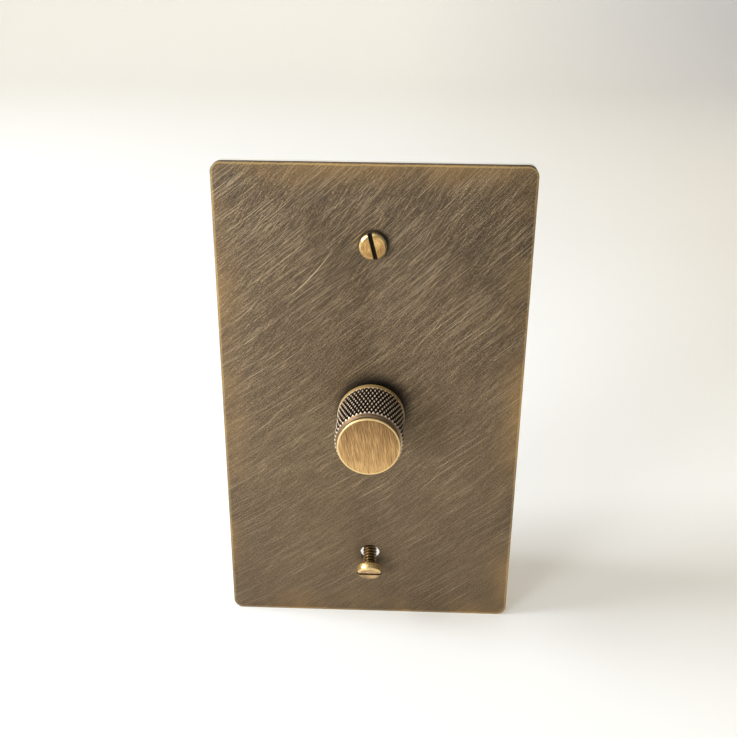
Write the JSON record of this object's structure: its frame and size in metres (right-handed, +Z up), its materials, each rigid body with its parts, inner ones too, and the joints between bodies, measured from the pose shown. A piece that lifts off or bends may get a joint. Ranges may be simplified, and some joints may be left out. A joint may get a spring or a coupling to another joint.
{
  "type": "rotary dimmer switch",
  "caption": "Tall brass wall plate with a knurled push-and-turn dimmer knob at its centre, slotted fixing screws above and below, and a boxed module behind.",
  "frame": {"origin": "where the knob's axis meets the wall plane, which is the back face of the gasket", "axes": "+Y into the wall, along the knob's axis; +Z up, along the plate's long side; +X to the right of someone facing the plate"},
  "size_m": [0.072, 0.0485, 0.12],
  "materials": {
    "bronzed_brass": "antique bronzed, brushed on the slant, worn bright at the edges",
    "knob_brass": "antique brass, diamond knurled with a brushed disc",
    "screw_brass": "polished antique brass",
    "gasket_sheet": "white translucent sheet",
    "zinc_steel": "bright zinc plate",
    "spring_steel": "plain",
    "nickel_brass": "nickel plated",
    "plain_brass": "plain",
    "contact_bronze": "phosphor bronze",
    "heatsink_aluminium": "plain sheet",
    "case_plastic": "black moulded",
    "nylon": "natural moulded",
    "phenolic": "brown moulded",
    "board_laminate": "green solder mask",
    "epoxy_black": "moulded epoxy",
    "film_case": "moulded box",
    "lead_case": "dipped",
    "resistor_coat": "lacquered",
    "diac_glass": "small glass package",
    "core_paint": "painted iron powder",
    "winding_copper": "enamelled copper",
    "fuse_glass": "clear tube",
    "terminal_green": "moulded"
  },
  "bodies": {
    "root": {"face_plate": "bronzed_brass", "backing_gasket": "gasket_sheet", "fixing_screws": "screw_brass", "threaded_bush": "nickel_brass", "bush_nut": "nickel_brass", "lock_washer": "zinc_steel", "heatsink_plate": "heatsink_aluminium", "rear_housing": "case_plastic", "housing_screws": "zinc_steel", "circuit_board": "board_laminate", "pot_housing": "phenolic", "resistance_wafer": "phenolic", "track_pins": "plain_brass", "switch_body": "case_plastic", "fixed_contacts": "contact_bronze", "return_spring": "spring_steel", "triac": "epoxy_black", "triac_screw": "zinc_steel", "choke_core": "core_paint", "choke_winding": "winding_copper", "suppression_capacitor": "film_case", "timing_capacitor": "lead_case", "gate_resistors": "resistor_coat", "diac": "diac_glass", "fuse_tube": "fuse_glass", "fuse_caps": "nickel_brass", "fuse_clips": "plain_brass", "terminal_block": "terminal_green", "terminal_cages": "plain_brass", "terminal_screws": "zinc_steel"},
    "switch_slider": {"switch_plunger": "nylon", "moving_contact": "contact_bronze"},
    "knob_shaft": {"knob": "knob_brass", "knob_insert": "nylon", "shaft": "zinc_steel", "shaft_circlip": "spring_steel"},
    "wiper": {"wiper_rotor": "nylon", "wiper_contact": "contact_bronze"}
  },
  "joints": [
    {"name": "knob_push", "type": "slide", "parent": "root", "child": "switch_slider", "axis": [0, 1, 0], "range_m": [0, 0.0013], "stiffness_N_per_m": 2000, "springref_m": -0.001, "deforming": ["return_spring"]},
    {"name": "knob_turn", "type": "hinge", "parent": "switch_slider", "child": "knob_shaft", "pos_m": [0, 0, 0], "axis": [0, 1, 0], "range_deg": [-135, 135]},
    {"name": "wiper_turn", "type": "hinge", "parent": "root", "child": "wiper", "pos_m": [0, 0, 0], "axis": [0, 1, 0], "range_deg": [-135, 135]}
  ],
  "couplings": [
    {"joint": "wiper_turn", "follows": "knob_turn", "ratio": 1}
  ]
}
